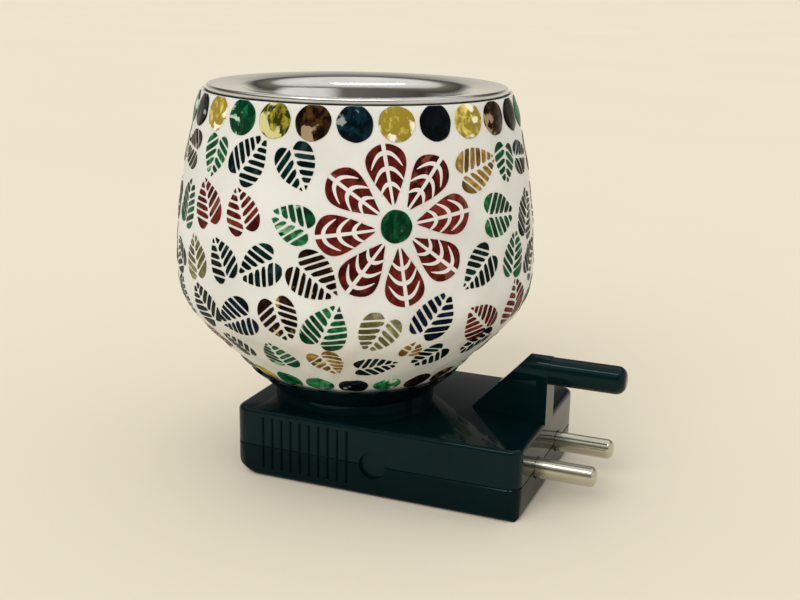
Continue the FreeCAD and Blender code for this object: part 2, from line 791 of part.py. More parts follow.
def bulb_glass():
    """A thin capsule over a flat pinch that goes into the socket."""
    shoulder = bulb_base + bulb_pinch_height
    nose = bulb_radius / 2
    inner = bulb_radius - bulb_wall
    capsule = turned([
        (0, shoulder),
        (inner / 2, shoulder),
        (bulb_radius, shoulder + bulb_shoulder),
        (bulb_radius, bulb_top - bulb_shoulder),
        (nose, bulb_top),
        (0, bulb_top),
    ])
    hollow = turned([
        (0, shoulder + bulb_wall),
        (inner / 2, shoulder + bulb_wall),
        (inner, shoulder + bulb_shoulder + bulb_wall),
        (inner, bulb_top - bulb_shoulder),
        (nose - bulb_wall, bulb_top - bulb_wall),
        (0, bulb_top - bulb_wall),
    ])
    pinch = box(-bulb_pinch_thickness / 2, bulb_pinch_thickness / 2, -bulb_pinch_width / 2,
                bulb_pinch_width / 2, bulb_base, shoulder + bulb_shoulder)
    pin_holes = [rod(0, side * bulb_pin_spacing / 2, bulb_base - overrun, bulb_pin_radius,
                     bulb_pin_length + overrun, UP) for side in (-1, 1)]
    return capsule.fuse(pinch).cut([hollow] + pin_holes)


def bulb_filament():
    """The coil, as the cylinder round its turns, on two support wires that rise out of the pinch."""
    base = bulb_base + bulb_pinch_height + bulb_wall
    filament_height = (bulb_top - base) * filament_height_share
    coil = rod(0, -filament_length / 2, base + filament_height, filament_radius, filament_length, ACROSS)
    wire_y = filament_length / 2 - 2 * filament_wire_radius
    wires = [rod(0, side * wire_y, base, filament_wire_radius, filament_height, UP) for side in (-1, 1)]
    return coil.fuse(wires).removeSplitter()


def bulb_pins():
    """Two stiff pins that stand out of the pinch into the contacts."""
    return Part.makeCompound([
        rod(0, side * bulb_pin_spacing / 2, bulb_base - bulb_pin_length, bulb_pin_radius,
            2 * bulb_pin_length, UP) for side in (-1, 1)])


def lead(side):
    """An insulated wire from a contact's tab, level, then down and out to the tail of its pin."""
    start = V(contact_width / 2 + contact_tab, side * bulb_pin_spacing / 2,
              ceiling - contact_tail + contact_thickness / 2)
    leave = start + V(lead_level, 0, 0)
    end = V(pin_tail_end, side * pin_y, lower_height)
    arrive = end - V(lead_straight, 0, 0)
    points = [start, leave, arrive, end]
    edges = []
    last = start
    for before, point, after in zip(points, points[1:], points[2:]):
        into = (point - before).normalize()
        out = (after - point).normalize()
        turn = math.acos(into.dot(out))
        reach = lead_bend_share * min((point - before).Length, (after - point).Length)
        first = point - into * reach
        second = point + out * reach
        radius = reach / math.tan(turn / 2)
        inward = (out - into).normalize()
        middle = point + inward * (radius / math.cos(turn / 2) - radius)
        edges.append(Part.makeLine(last, first))
        edges.append(Part.Arc(first, middle, second).toShape())
        last = second
    edges.append(Part.makeLine(last, end))
    path = Part.Wire(edges)
    ring = Part.Wire(Part.makeCircle(lead_radius, start, FORWARD))
    return path.makePipeShell([ring], True, False)


save("upper_case", upper_case())
save("lower_case", lower_case())
save("live_pin", current_pin(-1))
save("neutral_pin", current_pin(1))
save("cord_hole_blank", cord_hole_blank())
save("case_screws", case_screws())
save("globe_gallery", gallery())
save("lamp_socket", lamp_socket())
save("socket_screws", socket_screws())
save("socket_contacts", socket_contacts())
save("live_lead", lead(-1))
save("neutral_lead", lead(1))
save("globe_glass", globe_glass())
save("globe_grout", globe_grout())
save("globe_bond", globe_bond())
for colour in dot_colours:
    save(colour + "_dots", dots(colour))
save("red_petals", petals())
save("green_centres", flower_centres())
for colour in leaf_colours:
    save(colour + "_leaves", leaves(colour))
save("wax_dish", wax_dish())
save("bulb_glass", bulb_glass())
save("bulb_filament", bulb_filament())
save("bulb_pins", bulb_pins())
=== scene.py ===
"""Looks of the plug-in wax melt warmer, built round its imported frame. Lengths are in metres."""

import math
import random

import bmesh
import bpy
from mathutils import Matrix, Vector


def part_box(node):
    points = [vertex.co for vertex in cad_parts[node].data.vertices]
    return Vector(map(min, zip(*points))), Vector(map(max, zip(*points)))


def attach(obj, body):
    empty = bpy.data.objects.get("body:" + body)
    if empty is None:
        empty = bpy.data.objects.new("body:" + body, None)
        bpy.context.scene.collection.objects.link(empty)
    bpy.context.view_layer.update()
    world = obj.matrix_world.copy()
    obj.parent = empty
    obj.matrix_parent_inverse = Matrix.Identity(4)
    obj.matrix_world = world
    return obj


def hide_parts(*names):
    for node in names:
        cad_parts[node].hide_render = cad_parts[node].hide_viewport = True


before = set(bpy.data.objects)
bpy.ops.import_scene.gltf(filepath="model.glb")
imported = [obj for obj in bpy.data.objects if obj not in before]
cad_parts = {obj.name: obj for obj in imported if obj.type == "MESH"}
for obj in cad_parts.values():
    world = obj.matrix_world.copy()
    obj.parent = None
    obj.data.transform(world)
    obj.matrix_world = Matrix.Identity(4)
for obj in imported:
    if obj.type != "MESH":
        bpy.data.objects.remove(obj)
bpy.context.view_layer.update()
mm = 0.001

# Camera
camera_place = (0.1208, -0.27258, 0.12491)
camera_yaw = 0.3783
camera_pitch = 0.2696
camera_roll = 0.0195
camera_lens = 52.97

# Globe outline, as in the frame
grout_low, grout_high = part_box("globe_grout")
foot_height = grout_low.z
rim_height = grout_high.z
globe_span = rim_height - foot_height
foot_radius = 18.0 * mm
belly_radius = 45.8 * mm
belly_height = 53.0 * mm
belly_low_height = 41.2 * mm
belly_arc_radius = 18.4 * mm
rim_radius = 38.8 * mm
foot_bulge = 0.9 * mm
upper_bulge = 1.72 * mm
grout_thickness = 1.0 * mm
outline_steps = 60
globe_sides = 288
grout_inner_step = 12

# Shallow hollows of a surface laid by hand: their rows wander by (size, turns round the globe)
hollow_depth = 0.35 * mm
hollow_pitch = 13.0 * mm
hollow_fade = 5.0 * mm
hollows_round = 23
wander_round = (2.0, 5)
wander_up = (1.5, 7)

# Dish
dish_depth = 11.5 * mm
dish_fall = 0.9 * mm
dish_shoulder = 4.4 * mm
dish_corner = 0.15 * mm
dish_floor_radius = 24.0 * mm
dish_well_radius = 27.3 * mm
dish_sheet = 0.6 * mm
dish_bend = 1.3 * mm
dish_hub = 1.0 * mm
bend_steps = 8

# Mosaic
chip_rise = 0.12 * mm
chip_sink = 0.3 * mm
chip_grid = 1.6 * mm
curve_steps = 4
leaf_length = 12.0 * mm
leaf_width_share = 0.86
midrib_width = 0.75 * mm
rib_width = 0.55 * mm
strip_width = 1.20 * mm
strip_corner_share = 0.22
least_strip_area = 0.35 * mm * mm
rib_slant = math.radians(30)
strips_from_share = -0.60

# Spreads of the hand-cut leaves: each is drawn between its two limits
lobe_spread = (0.92, 1.08)
slant_spread = (-0.10, 0.12)
start_spread = (-0.3, 0.3)
first_strip_spread = (1.2, 2.0)
rib_spread = (0.85, 1.15)
strip_spread = (0.82, 1.12)

# Round chips and flowers
top_dot_count = 27
top_dot_diameter = 8.2 * mm
top_dot_height = 93.3 * mm
base_dot_count = 22
base_dot_diameter = 7.0 * mm
base_dot_height = 28.7 * mm
dot_start = math.radians(-66.9)
dot_dome = 0.35 * mm
dot_grid = 0.8 * mm
dot_points = 40
dot_seed = 1000
# How far a chip's edge strays from round: (share of the radius, waves round it)
dot_waves = [(0.022, 2), (0.014, 3), (0.010, 7)]
petal_count = 8
petal_start = 5.0 * mm
petal_length = 13.2 * mm
petal_width = 9.1 * mm
flower_height = 71.3 * mm
flower_angle = math.radians(-54.7)
flower_turn = math.radians(8.0)
flower_centre_diameter = 7.3 * mm
flower_seed = 77
flower_centre_tint = 0.2
vein_lift = 0.05 * mm
vein_grid = 2.0 * mm
midvein_inset = 0.3 * mm
midvein_overrun = 0.4 * mm
midvein_widths = (0.55 * mm, 0.80 * mm, 0.95 * mm)
side_vein_steps = 8
side_vein_root = 0.92 * mm
side_vein_tip = 0.14 * mm

# Finish of the CAD pieces
weld_distance = 0.002 * mm
crease_angle = math.radians(28)

# Light and backdrop: colours, strengths and the ways they come from
backdrop_colour = (0.86, 0.78, 0.63)
floor_tones = [(0.3, (0.722, 0.660, 0.533)), (0.7, (0.736, 0.674, 0.547))]
floor_reach = 14.0
fill_colour = (1.0, 0.99, 0.97)
fill_strength = 0.97
sun_strength = 1.05
sun_width = math.radians(40)
sun_way = (0.10, 0.79, -0.60)

# What polished faces mirror, from the horizon to straight overhead
mirrored_sky = [
    (0.0, (0.72, 0.68, 0.58)), (0.15, (0.62, 0.59, 0.51)), (0.27, (0.30, 0.29, 0.27)),
    (0.38, (0.07, 0.065, 0.06)), (0.50, (0.15, 0.135, 0.11)), (0.60, (0.22, 0.20, 0.165)),
    (0.68, (0.72, 0.72, 0.69)), (0.84, (1.0, 1.0, 0.96)), (1.0, (0.95, 0.95, 0.92)),
]
# Bright bands in it: low and high rise, softness, axis, where it starts and is full along it, glow
mirrored_bands = [
    (0.888, 0.902, 0.010, "Y", -0.10, -0.25, 14.0),
    (0.30, 0.52, 0.06, "X", 0.55, 0.85, 0.8),
]


# Nodes of a material

def new_material(name):
    material = bpy.data.materials.new(name)
    material.use_nodes = True
    return material, material.node_tree.nodes, material.node_tree.links


def shader_of(nodes):
    return nodes["Principled BSDF"]


def noise_node(nodes, links, scale, detail=4.0, stretch=None):
    """A noise texture on the object's own coordinates."""
    place = nodes.new("ShaderNodeTexCoord")
    texture = nodes.new("ShaderNodeTexNoise")
    texture.inputs["Scale"].default_value = scale
    texture.inputs["Detail"].default_value = detail
    if stretch is None:
        links.new(place.outputs["Object"], texture.inputs["Vector"])
    else:
        mapping = nodes.new("ShaderNodeMapping")
        mapping.inputs["Scale"].default_value = stretch
        links.new(place.outputs["Object"], mapping.inputs["Vector"])
        links.new(mapping.outputs["Vector"], texture.inputs["Vector"])
    return texture


def ramp_node(nodes, links, source, stops):
    """A colour ramp over a value, from (place, colour) stops."""
    ramp = nodes.new("ShaderNodeValToRGB")
    links.new(source, ramp.inputs["Fac"])
    while len(ramp.color_ramp.elements) < len(stops):
        ramp.color_ramp.elements.new(1.0)
    for element, (place, colour) in zip(ramp.color_ramp.elements, stops):
        element.position = place
        element.color = (*colour, 1.0)
    return ramp


def range_node(nodes, links, source, low, high):
    """A value between 0 and 1 moved to the range from low to high."""
    node = nodes.new("ShaderNodeMapRange")
    node.inputs["To Min"].default_value = low
    node.inputs["To Max"].default_value = high
    links.new(source, node.inputs["Value"])
    return node


def bump_node(nodes, links, source, strength, distance):
    bump = nodes.new("ShaderNodeBump")
    bump.inputs["Strength"].default_value = strength
    bump.inputs["Distance"].default_value = distance
    links.new(source, bump.inputs["Height"])
    return bump


# Materials

plastic_sheen = (0.62, 0.94, 0.97)
grout_tones = [(0.30, (0.60, 0.595, 0.545)), (0.55, (0.665, 0.66, 0.615)), (0.80, (0.70, 0.70, 0.665))]


def black_plastic(name, dark, light, specular):
    """Glossy black moulding with a faint orange peel."""
    material, nodes, links = new_material(name)
    shader = shader_of(nodes)
    tone = noise_node(nodes, links, scale=60.0)
    ramp = ramp_node(nodes, links, tone.outputs["Fac"], [(0.35, dark), (0.75, light)])
    links.new(ramp.outputs["Color"], shader.inputs["Base Color"])
    shader.inputs["Specular IOR Level"].default_value = specular
    shader.inputs["Specular Tint"].default_value = (*plastic_sheen, 1.0)
    smear = noise_node(nodes, links, scale=35.0)
    rough = range_node(nodes, links, smear.outputs["Fac"], low=0.03, high=0.09)
    links.new(rough.outputs["Result"], shader.inputs["Roughness"])
    peel = noise_node(nodes, links, scale=900.0, detail=2.0)
    bump = bump_node(nodes, links, peel.outputs["Fac"], strength=0.02, distance=0.0002)
    links.new(bump.outputs["Normal"], shader.inputs["Normal"])
    return material


def grout():
    """Off-white grout, wiped smooth by hand, a little cloudy."""
    material, nodes, links = new_material("white_grout")
    shader = shader_of(nodes)
    cloud = noise_node(nodes, links, scale=55.0, detail=5.0)
    ramp = ramp_node(nodes, links, cloud.outputs["Fac"], grout_tones)
    links.new(ramp.outputs["Color"], shader.inputs["Base Color"])
    shader.inputs["Roughness"].default_value = 0.48
    grain = noise_node(nodes, links, scale=1400.0, detail=3.0)
    bump = bump_node(nodes, links, grain.outputs["Fac"], strength=0.12, distance=0.0002)
    links.new(bump.outputs["Normal"], shader.inputs["Normal"])
    return material


def chip_glass(name, deep, light, fleck, painted_reflection, gloss, reflection_from, softness):
    """Coloured glass: a tint for each chip, streaks, flecks, and patches of painted reflection in a pale
    colour.
    """
    material, nodes, links = new_material(name)
    shader = shader_of(nodes)
    tint = nodes.new("ShaderNodeAttribute")
    tint.attribute_name = "chip_tint"
    streak = noise_node(nodes, links, scale=620.0, detail=8.0, stretch=(1.0, 1.0, 0.7))
    streak.inputs["Distortion"].default_value = 0.5
    add = nodes.new("ShaderNodeMath")
    add.operation = "MULTIPLY_ADD"
    add.inputs[1].default_value = 0.95
    links.new(streak.outputs["Fac"], add.inputs[0])
    shift = range_node(nodes, links, tint.outputs["Fac"], low=-0.12, high=0.16)
    links.new(shift.outputs["Result"], add.inputs[2])
    ramp = ramp_node(nodes, links, add.outputs["Value"],
                     [(0.48 - softness, deep), (0.48 + softness, light), (0.80, fleck)])
    patch = noise_node(nodes, links, scale=190.0, detail=6.0)
    patch.inputs["Distortion"].default_value = 0.5
    # Painted reflection: a pale colour mixed into the base colour in noise patches, standing in for the
    # environment mirrored in the glass.
    reflection_mask = ramp_node(nodes, links, patch.outputs["Fac"],
                     [(reflection_from, (0.0, 0.0, 0.0)), (reflection_from + 0.03, (1.0, 1.0, 1.0))])
    mix = nodes.new("ShaderNodeMix")
    mix.data_type = "RGBA"
    links.new(reflection_mask.outputs["Color"], mix.inputs[0])
    links.new(ramp.outputs["Color"], mix.inputs[6])
    mix.inputs[7].default_value = (*painted_reflection, 1.0)
    links.new(mix.outputs[2], shader.inputs["Base Color"])
    shader.inputs["Specular IOR Level"].default_value = gloss
    rough = range_node(nodes, links, patch.outputs["Fac"], low=0.10, high=0.30)
    links.new(rough.outputs["Result"], shader.inputs["Roughness"])
    ripple = noise_node(nodes, links, scale=300.0, detail=3.0)
    bump = bump_node(nodes, links, ripple.outputs["Fac"], strength=0.35, distance=0.0008)
    links.new(bump.outputs["Normal"], shader.inputs["Normal"])
    return material


def metal(name, colour, rough_low, rough_high, stretch):
    """Bare or plated metal with fine marks along one direction."""
    material, nodes, links = new_material(name)
    shader = shader_of(nodes)
    shader.inputs["Metallic"].default_value = 1.0
    tone = noise_node(nodes, links, scale=90.0, detail=3.0)
    darker = tuple(0.86 * part for part in colour)
    ramp = ramp_node(nodes, links, tone.outputs["Fac"], [(0.3, darker), (0.7, colour)])
    links.new(ramp.outputs["Color"], shader.inputs["Base Color"])
    marks = noise_node(nodes, links, scale=500.0, detail=3.0, stretch=stretch)
    rough = range_node(nodes, links, marks.outputs["Fac"], rough_low, rough_high)
    links.new(rough.outputs["Result"], shader.inputs["Roughness"])
    bump = bump_node(nodes, links, marks.outputs["Fac"], strength=0.05, distance=0.0001)
    links.new(bump.outputs["Normal"], shader.inputs["Normal"])
    return material


def clear_glass(name, colour, roughness, alpha):
    """Clear glass with a faint unevenness: a solid one, or a wall that only veils what lies behind."""
    material, nodes, links = new_material(name)
    shader = shader_of(nodes)
    shader.inputs["Base Color"].default_value = (*colour, 1.0)
    shader.inputs["Transmission Weight"].default_value = 1.0 if alpha == 1.0 else 0.0
    shader.inputs["Alpha"].default_value = alpha
    shader.inputs["IOR"].default_value = 1.48
    wave = noise_node(nodes, links, scale=120.0, detail=2.0)
    rough = range_node(nodes, links, wave.outputs["Fac"], roughness, roughness + 0.06)
    links.new(rough.outputs["Result"], shader.inputs["Roughness"])
    bump = bump_node(nodes, links, wave.outputs["Fac"], strength=0.08, distance=0.0004)
    links.new(bump.outputs["Normal"], shader.inputs["Normal"])
    return material


def dull(name, dark, light, roughness, scale):
    """A plain matte stuff such as ceramic, rubber or adhesive, with fine mottling."""
    material, nodes, links = new_material(name)
    shader = shader_of(nodes)
    tone = noise_node(nodes, links, scale=scale, detail=4.0)
    ramp = ramp_node(nodes, links, tone.outputs["Fac"], [(0.3, dark), (0.7, light)])
    links.new(ramp.outputs["Color"], shader.inputs["Base Color"])
    shader.inputs["Roughness"].default_value = roughness
    bump = bump_node(nodes, links, tone.outputs["Fac"], strength=0.1, distance=0.0002)
    links.new(bump.outputs["Normal"], shader.inputs["Normal"])
    return material


# Glass of the leaves and petals, then of the round chips: deep, light and fleck colours, and the pale
# colour of the painted reflection patches.
glass_colours = {
    "black": ((0.0005, 0.003, 0.003), (0.002, 0.012, 0.010), (0.006, 0.045, 0.032), (0.010, 0.03, 0.03)),
    "green": ((0.001, 0.022, 0.008), (0.006, 0.085, 0.028), (0.05, 0.24, 0.09), (0.22, 0.42, 0.24)),
    "red": ((0.035, 0.003, 0.003), (0.125, 0.014, 0.010), (0.20, 0.03, 0.02), (0.16, 0.045, 0.03)),
    "gold": ((0.07, 0.045, 0.004), (0.28, 0.16, 0.025), (0.50, 0.36, 0.10), (0.40, 0.36, 0.12)),
    "brown": ((0.0035, 0.0015, 0.001), (0.020, 0.008, 0.004), (0.10, 0.045, 0.015), (0.30, 0.17, 0.05)),
    "navy": ((0.0005, 0.0015, 0.005), (0.002, 0.010, 0.024), (0.02, 0.07, 0.11), (0.26, 0.27, 0.26)),
    "olive": ((0.06, 0.055, 0.018), (0.17, 0.16, 0.065), (0.36, 0.34, 0.19), (0.45, 0.43, 0.28)),
}
round_colours = {
    "yellow": ((0.27, 0.20, 0.02), (0.66, 0.54, 0.13), (0.76, 0.68, 0.30), (0.82, 0.78, 0.60)),
    "green": ((0.001, 0.028, 0.011), (0.004, 0.12, 0.042), (0.08, 0.32, 0.14), (0.42, 0.60, 0.42)),
    "gold": ((0.025, 0.032, 0.002), (0.30, 0.25, 0.02), (0.50, 0.44, 0.08), (0.55, 0.52, 0.22)),
    "brown": ((0.0015, 0.0008, 0.0004), (0.007, 0.0035, 0.0014), (0.09, 0.04, 0.010), (0.30, 0.22, 0.12)),
    "navy": ((0.0002, 0.001, 0.0018), (0.0004, 0.0055, 0.010), (0.006, 0.035, 0.050), (0.26, 0.27, 0.26)),
}
# Gloss, where the patches of painted reflection start, and how softly the streaks run
glass_finish = (0.03, 0.635, 0.14)
round_finish = (0.06, 0.565, 0.08)

# Plastic: dark and light tone, gloss. Metal: colour, roughness from and to, stretch of its marks.
# Dull stuffs: dark and light tone, roughness, scale of the mottling. Clear glass: colour,
# roughness, and 1 for a solid one or less for a wall that only veils.
looks = {
    "case": black_plastic("black_gloss_plastic",
                          (0.0008, 0.0062, 0.0070), (0.0016, 0.0095, 0.0102), 0.17),
    "case_base": black_plastic("black_base_plastic",
                               (0.0004, 0.0045, 0.0052), (0.0008, 0.0068, 0.0078), 0.10),
    "grout": grout(),
    "steel": metal("polished_steel", (0.72, 0.71, 0.69), 0.05, 0.13, (1.0, 1.0, 6.0)),
    "nickel": metal("nickel_plate", (0.60, 0.57, 0.47), 0.16, 0.30, (0.06, 1.0, 1.0)),
    "zinc": metal("zinc_screws", (0.60, 0.60, 0.57), 0.28, 0.42, (1.0, 1.0, 1.0)),
    "brass": metal("brass_strip", (0.72, 0.50, 0.20), 0.25, 0.38, (1.0, 1.0, 0.1)),
    "tungsten": metal("tungsten_wire", (0.35, 0.34, 0.33), 0.35, 0.5, (1.0, 0.1, 1.0)),
    "ceramic": dull("white_ceramic", (0.72, 0.69, 0.62), (0.84, 0.81, 0.75), 0.5, 300.0),
    "brown_lead": dull("brown_sleeve", (0.16, 0.06, 0.03), (0.24, 0.10, 0.06), 0.55, 500.0),
    "blue_lead": dull("blue_sleeve", (0.03, 0.07, 0.25), (0.05, 0.11, 0.36), 0.55, 500.0),
    "bond": dull("adhesive_bead", (0.60, 0.58, 0.52), (0.72, 0.70, 0.64), 0.35, 200.0),
    "globe_glass": clear_glass("blown_glass", (0.72, 0.76, 0.74), 0.04, 0.22),
    "bulb_glass": clear_glass("quartz_glass", (0.98, 0.98, 0.98), 0.0, 1.0),
}
for colour, parts in glass_colours.items():
    looks[colour] = chip_glass(colour + "_chips", *parts, *glass_finish)
for colour, parts in round_colours.items():
    looks[colour + "_round"] = chip_glass(colour + "_round_chips", *parts, *round_finish)

node_looks = {
    "upper_case": "case", "lower_case": "case_base", "cord_hole_blank": "case", "globe_gallery": "case",
    "live_pin": "nickel", "neutral_pin": "nickel", "case_screws": "zinc", "socket_screws": "zinc",
    "lamp_socket": "ceramic", "socket_contacts": "brass", "live_lead": "brown_lead",
    "neutral_lead": "blue_lead", "globe_glass": "globe_glass", "globe_bond": "bond",
    "bulb_glass": "bulb_glass", "bulb_filament": "tungsten", "bulb_pins": "nickel",
}


def dress_node(name, look):
    """Gives a CAD node its finish and smooth shading across its soft edges."""
    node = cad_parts[name]
    node.data.materials.clear()
    node.data.materials.append(looks[look])
    for polygon in node.data.polygons:
        polygon.use_smooth = True
    weld = node.modifiers.new("weld", "WELD")
    weld.merge_threshold = weld_distance
    split = node.modifiers.new("sharp_edges", "EDGE_SPLIT")
    split.split_angle = crease_angle


for node_name, look_name in node_looks.items():
    dress_node(node_name, look_name)


# The globe's outer line

def arc_points(a, b, bulge, steps):
    """Points (radius, height) of an arc from a to b that stands outward by bulge at its middle."""
    run = b[0] - a[0]
    rise = b[1] - a[1]
    chord = math.hypot(run, rise)
    radius = (chord * chord / 4 + bulge * bulge) / (2 * bulge)
    outward = (rise / chord, -run / chord)
    centre = ((a[0] + b[0]) / 2 - outward[0] * (radius - bulge),
              (a[1] + b[1]) / 2 - outward[1] * (radius - bulge))
    start = math.atan2(a[1] - centre[1], a[0] - centre[0])
    end = math.atan2(b[1] - centre[1], b[0] - centre[0])
    points = []
    for i in range(steps + 1):
        angle = start + (end - start) * i / steps
        points.append((centre[0] + radius * math.cos(angle), centre[1] + radius * math.sin(angle)))
    return points


belly_turn = math.asin((belly_height - belly_low_height) / belly_arc_radius)
belly_centre = belly_radius - belly_arc_radius
belly_join = (belly_centre + belly_arc_radius * math.cos(belly_turn),
              belly_height - belly_arc_radius * math.sin(belly_turn))


def globe_line():
    line = arc_points((foot_radius, foot_height), belly_join, foot_bulge, outline_steps)
    for i in range(1, outline_steps):
        angle = -belly_turn * (1 - i / outline_steps)
        line.append((belly_centre + belly_arc_radius * math.cos(angle),
                     belly_height + belly_arc_radius * math.sin(angle)))
    line += arc_points((belly_radius, belly_height), (rim_radius, rim_height), upper_bulge, outline_steps)
    return line


outline = globe_line()
distances = [0.0]
for before, after in zip(outline, outline[1:]):
    distances.append(distances[-1] + math.dist(before, after))


def along(distance):
    """The radius, height and outward lean of the outline at a distance from the foot."""
    low = 0
    high = len(distances) - 1
    while high - low > 1:
        middle = (low + high) // 2
        if distances[middle] > distance:
            high = middle
        else:
            low = middle
    a = outline[low]
    b = outline[high]
    share = (distance - distances[low]) / (distances[high] - distances[low])
    radius = a[0] + (b[0] - a[0]) * share
    height = a[1] + (b[1] - a[1]) * share
    length = math.dist(a, b)
    return radius, height, (b[1] - a[1]) / length, -(b[0] - a[0]) / length


def distance_at(height):
    """The distance from the foot, along the outline, at a height."""
    for i in range(len(outline) - 1):
        if outline[i + 1][1] >= height:
            share = (height - outline[i][1]) / (outline[i + 1][1] - outline[i][1])
            return distances[i] + share * (distances[i + 1] - distances[i])
    return distances[-1]


def hollow(angle, distance):
    """How far the hand-laid surface lies under the true outline at a place."""
    fade = max(0.0, min(1.0, distance / hollow_fade, (distances[-1] - distance) / hollow_fade))
    aside = wander_round[0] * math.sin(wander_round[1] * angle)
    upward = wander_up[0] * math.sin(wander_up[1] * angle)
    round_swing = math.sin(hollows_round * angle + aside)
    up_swing = math.sin(2 * math.pi * distance / hollow_pitch + upward)
    return hollow_depth * fade * (1 + round_swing * up_swing) / 2


def on_globe(angle, distance, lift):
    """A point over the globe's surface."""
    radius, height, out, up = along(distance)
    lift -= hollow(angle, distance)
    reach = radius + lift * out
    return Vector((reach * math.cos(angle), reach * math.sin(angle), height + lift * up))


# Chips laid on the globe

class Mosaic:
    """One mesh of chips of one colour."""

    def __init__(self, name, look, replaced, slot_name):
        self.name = name
        self.look = look
        self.replaced = replaced
        self.slot_name = slot_name
        self.mesh = bmesh.new()
        self.tint = self.mesh.verts.layers.float.new("chip_tint")

    def add(self, outline_points, angle, height, tilt, tint,
            rise=chip_rise, dome=0.0, grid=chip_grid):
        """A chip from a flat outline in its own axes, turned by tilt and laid at a place."""
        flat = bmesh.new()
        flat.faces.new([flat.verts.new((x, y, 0.0)) for x, y in outline_points])
        size = max(abs(c) for point in outline_points for c in point)
        cuts = range(-int(size / grid), int(size / grid) + 1)
        for axis in (Vector((1, 0, 0)), Vector((0, 1, 0))):
            for i in cuts:
                bmesh.ops.bisect_plane(flat, geom=flat.verts[:] + flat.edges[:] + flat.faces[:],
                                       plane_co=axis * (i * grid + grid / 2), plane_no=axis)
        base_distance = distance_at(height)
        cos_tilt = math.cos(tilt)
        sin_tilt = math.sin(tilt)

        def lay(x, y, lift):
            across = x * cos_tilt - y * sin_tilt
            up = x * sin_tilt + y * cos_tilt
            distance = min(max(base_distance + up, 0.0), distances[-1])
            return on_globe(angle + across / along(distance)[0], distance, lift)

        flat.verts.index_update()
        tops = {}
        bases = {}
        for vert in flat.verts:
            crown = dome * max(0.0, 1.0 - (vert.co.x ** 2 + vert.co.y ** 2) / size ** 2)
            tops[vert.index] = self.mesh.verts.new(lay(vert.co.x, vert.co.y, rise + crown))
            bases[vert.index] = self.mesh.verts.new(lay(vert.co.x, vert.co.y, -chip_sink))
            tops[vert.index][self.tint] = tint
            bases[vert.index][self.tint] = tint
        for face in flat.faces:
            ring = [v.index for v in face.verts]
            top = self.mesh.faces.new([tops[i] for i in ring])
            top.smooth = dome > 0.0
            self.mesh.faces.new([bases[i] for i in reversed(ring)])
        for edge in flat.edges:
            if len(edge.link_faces) == 1:
                loop = edge.link_loops[0]
                a = loop.vert.index
                b = loop.link_loop_next.vert.index
                self.mesh.faces.new([tops[a], bases[a], bases[b], tops[b]])
        flat.free()

    def finish(self):
        bmesh.ops.recalc_face_normals(self.mesh, faces=self.mesh.faces[:])
        data = bpy.data.meshes.new(self.name)
        self.mesh.to_mesh(data)
        self.mesh.free()
        piece = bpy.data.objects.new(self.name, data)
        bpy.context.scene.collection.objects.link(piece)
        data.materials.append(looks[self.look])
        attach(piece, "root")
        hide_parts(self.replaced)


def area(points):
    total = 0.0
    for (x0, y0), (x1, y1) in zip(points, points[1:] + points[:1]):
        total += x0 * y1 - x1 * y0
    return total / 2


def clip(points, normal, offset):
    """The part of a polygon where normal . point >= offset."""
    kept = []
    for a, b in zip(points, points[1:] + points[:1]):
        side_a = a[0] * normal[0] + a[1] * normal[1] - offset
        side_b = b[0] * normal[0] + b[1] * normal[1] - offset
        if side_a >= 0:
            kept.append(a)
        if (side_a > 0 > side_b) or (side_a < 0 < side_b):
            share = side_a / (side_a - side_b)
            kept.append((a[0] + (b[0] - a[0]) * share, a[1] + (b[1] - a[1]) * share))
    return kept


def softened(points):
    """A polygon with each corner cut off a little, as a chip's corners are."""
    share = strip_corner_share
    result = []
    for a, b in zip(points, points[1:] + points[:1]):
        result.append((a[0] + (b[0] - a[0]) * share, a[1] + (b[1] - a[1]) * share))
        result.append((a[0] + (b[0] - a[0]) * (1 - share), a[1] + (b[1] - a[1]) * (1 - share)))
    return result


def smooth_closed(points):
    """A closed smooth curve through the points."""
    result = []
    count = len(points)
    for i in range(count):
        p0, p1, p2, p3 = (Vector(points[(i + k - 1) % count]) for k in range(4))
        for k in range(curve_steps):
            t = k / curve_steps
            result.append(tuple(0.5 * (2 * p1 + (p2 - p0) * t + (2 * p0 - 5 * p1 + 4 * p2 - p3) * t * t
                                       + (3 * p1 - p0 - 3 * p2 + p3) * t ** 3)))
    return result


# Half a leaf, from its tip round one lobe to the notch at its base: shares of length and half width.
half_leaf_shares = [(0.52, 0.0), (0.42, 0.26), (0.28, 0.56), (0.10, 0.85), (-0.12, 1.0),
                    (-0.33, 0.98), (-0.49, 0.76), (-0.54, 0.45), (-0.47, 0.16), (-0.38, 0.0)]


def leaf_strips(length, dice):
    """The coloured strips of one leaf, as flat outlines."""
    half = length * leaf_width_share / 2
    strips = []
    for side in (-1, 1):
        swell = dice.uniform(*lobe_spread)
        lobe = [(x * length, y * half * swell) for x, y in half_leaf_shares]
        mirror = [(x, -y) for x, y in reversed(lobe[1:-1])]
        lobe = clip(smooth_closed(lobe + mirror), (0, 1), midrib_width / 2)
        slant = rib_slant + dice.uniform(*slant_spread)
        lean = (math.cos(slant), -math.sin(slant))
        place = strips_from_share * length + dice.uniform(*start_spread) * rib_width
        width = strip_width * dice.uniform(*first_strip_spread)
        while place < 0.5 * length:
            band = clip(clip(lobe, lean, place), (-lean[0], -lean[1]), -(place + width))
            if len(band) >= 3 and abs(area(band)) > least_strip_area:
                band = softened(band)
                strips.append([(x, side * y) for x, y in (band if side > 0 else reversed(band))])
            place += width + rib_width * dice.uniform(*rib_spread)
            width = strip_width * dice.uniform(*strip_spread)
    return strips


